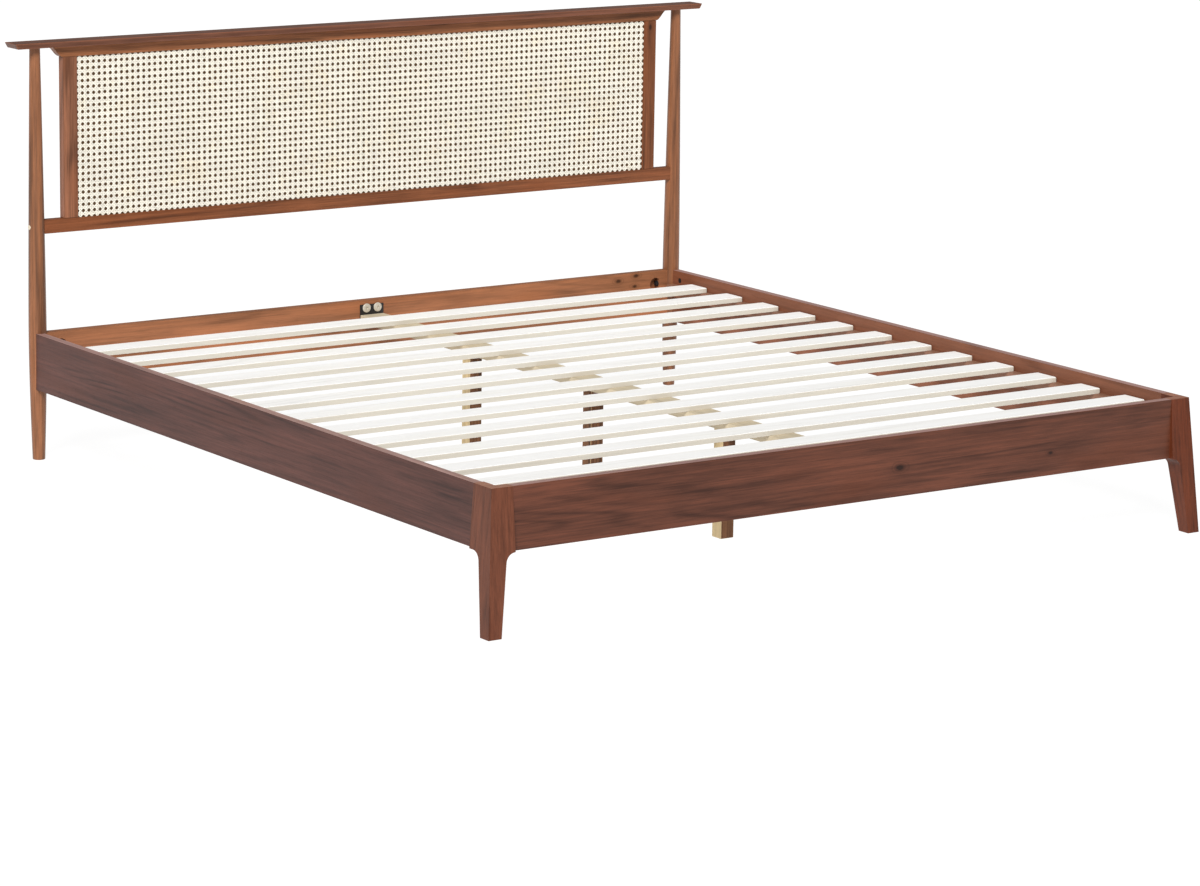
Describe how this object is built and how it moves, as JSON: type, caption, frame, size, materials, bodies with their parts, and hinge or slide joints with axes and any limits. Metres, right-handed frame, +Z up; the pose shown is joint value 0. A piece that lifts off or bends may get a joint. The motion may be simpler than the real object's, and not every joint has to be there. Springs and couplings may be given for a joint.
{
  "type": "wooden bed frame",
  "caption": "Wooden platform bed frame with turned head posts, a cane headboard under a long crown board, splayed foot legs, slats on ledgers and a centre beam",
  "frame": {"origin": "on the floor, under the middle of the frame's overall box", "axes": "+Z up; +Y from the foot to the headboard; +X to the right for someone standing at the foot and looking at the headboard"},
  "size_m": [2.11, 2.182, 1.067],
  "materials": {
    "turned_post_wood": "walnut-stained lathe-turned hardwood, satin lacquer",
    "crown_wood": "walnut-stained hardwood board, satin lacquer",
    "headboard_wood": "walnut-stained hardwood, satin lacquer",
    "backing_wood": "dark stained veneered board, matt",
    "cane": "woven natural cane webbing, dry matt",
    "head_rail_wood": "walnut-stained hardwood, satin lacquer",
    "side_rail_wood": "dark walnut-stained hardwood, satin lacquer",
    "ledger_wood": "lightly stained softwood strip, matt",
    "foot_rail_wood": "dark walnut-stained hardwood, satin lacquer",
    "leg_wood": "walnut-stained hardwood, satin lacquer",
    "pale_wood": "unfinished pale pine",
    "centre_leg_wood": "unfinished pale pine, matt",
    "slat_wood": "unfinished pale pine, planed, eased edges",
    "black_steel": "black powder-coated or blackened steel",
    "pale_steel": "bright zinc-plated steel",
    "zinc_steel": "zinc-plated steel",
    "cap_plastic": "moulded pale cap"
  },
  "bodies": {
    "root": {"left_post": "turned_post_wood", "right_post": "turned_post_wood", "crown_board": "crown_wood", "upper_panel_rail": "headboard_wood", "left_stile": "headboard_wood", "right_stile": "headboard_wood", "crosspiece": "headboard_wood", "backing_board": "backing_wood", "cane_sheet": "cane", "head_rail": "head_rail_wood", "left_side_rail": "side_rail_wood", "right_side_rail": "side_rail_wood", "left_ledger": "ledger_wood", "right_ledger": "ledger_wood", "foot_rail": "foot_rail_wood", "left_foot_leg": "leg_wood", "right_foot_leg": "leg_wood", "centre_beam": "pale_wood", "head_bracket": "black_steel", "foot_bracket": "black_steel", "bracket_bolts": "pale_steel", "centre_leg_head": "centre_leg_wood", "centre_leg_middle": "centre_leg_wood", "centre_leg_foot": "centre_leg_wood", "slat_01": "slat_wood", "slat_02": "slat_wood", "slat_03": "slat_wood", "slat_04": "slat_wood", "slat_05": "slat_wood", "slat_06": "slat_wood", "slat_07": "slat_wood", "slat_08": "slat_wood", "slat_09": "slat_wood", "slat_10": "slat_wood", "slat_11": "slat_wood", "slat_12": "slat_wood", "head_rail_bolts": "black_steel", "barrel_nuts": "black_steel", "side_rail_bolts": "zinc_steel", "crosspiece_bolts": "zinc_steel", "post_bolt_caps": "cap_plastic"}
  },
  "joints": []
}
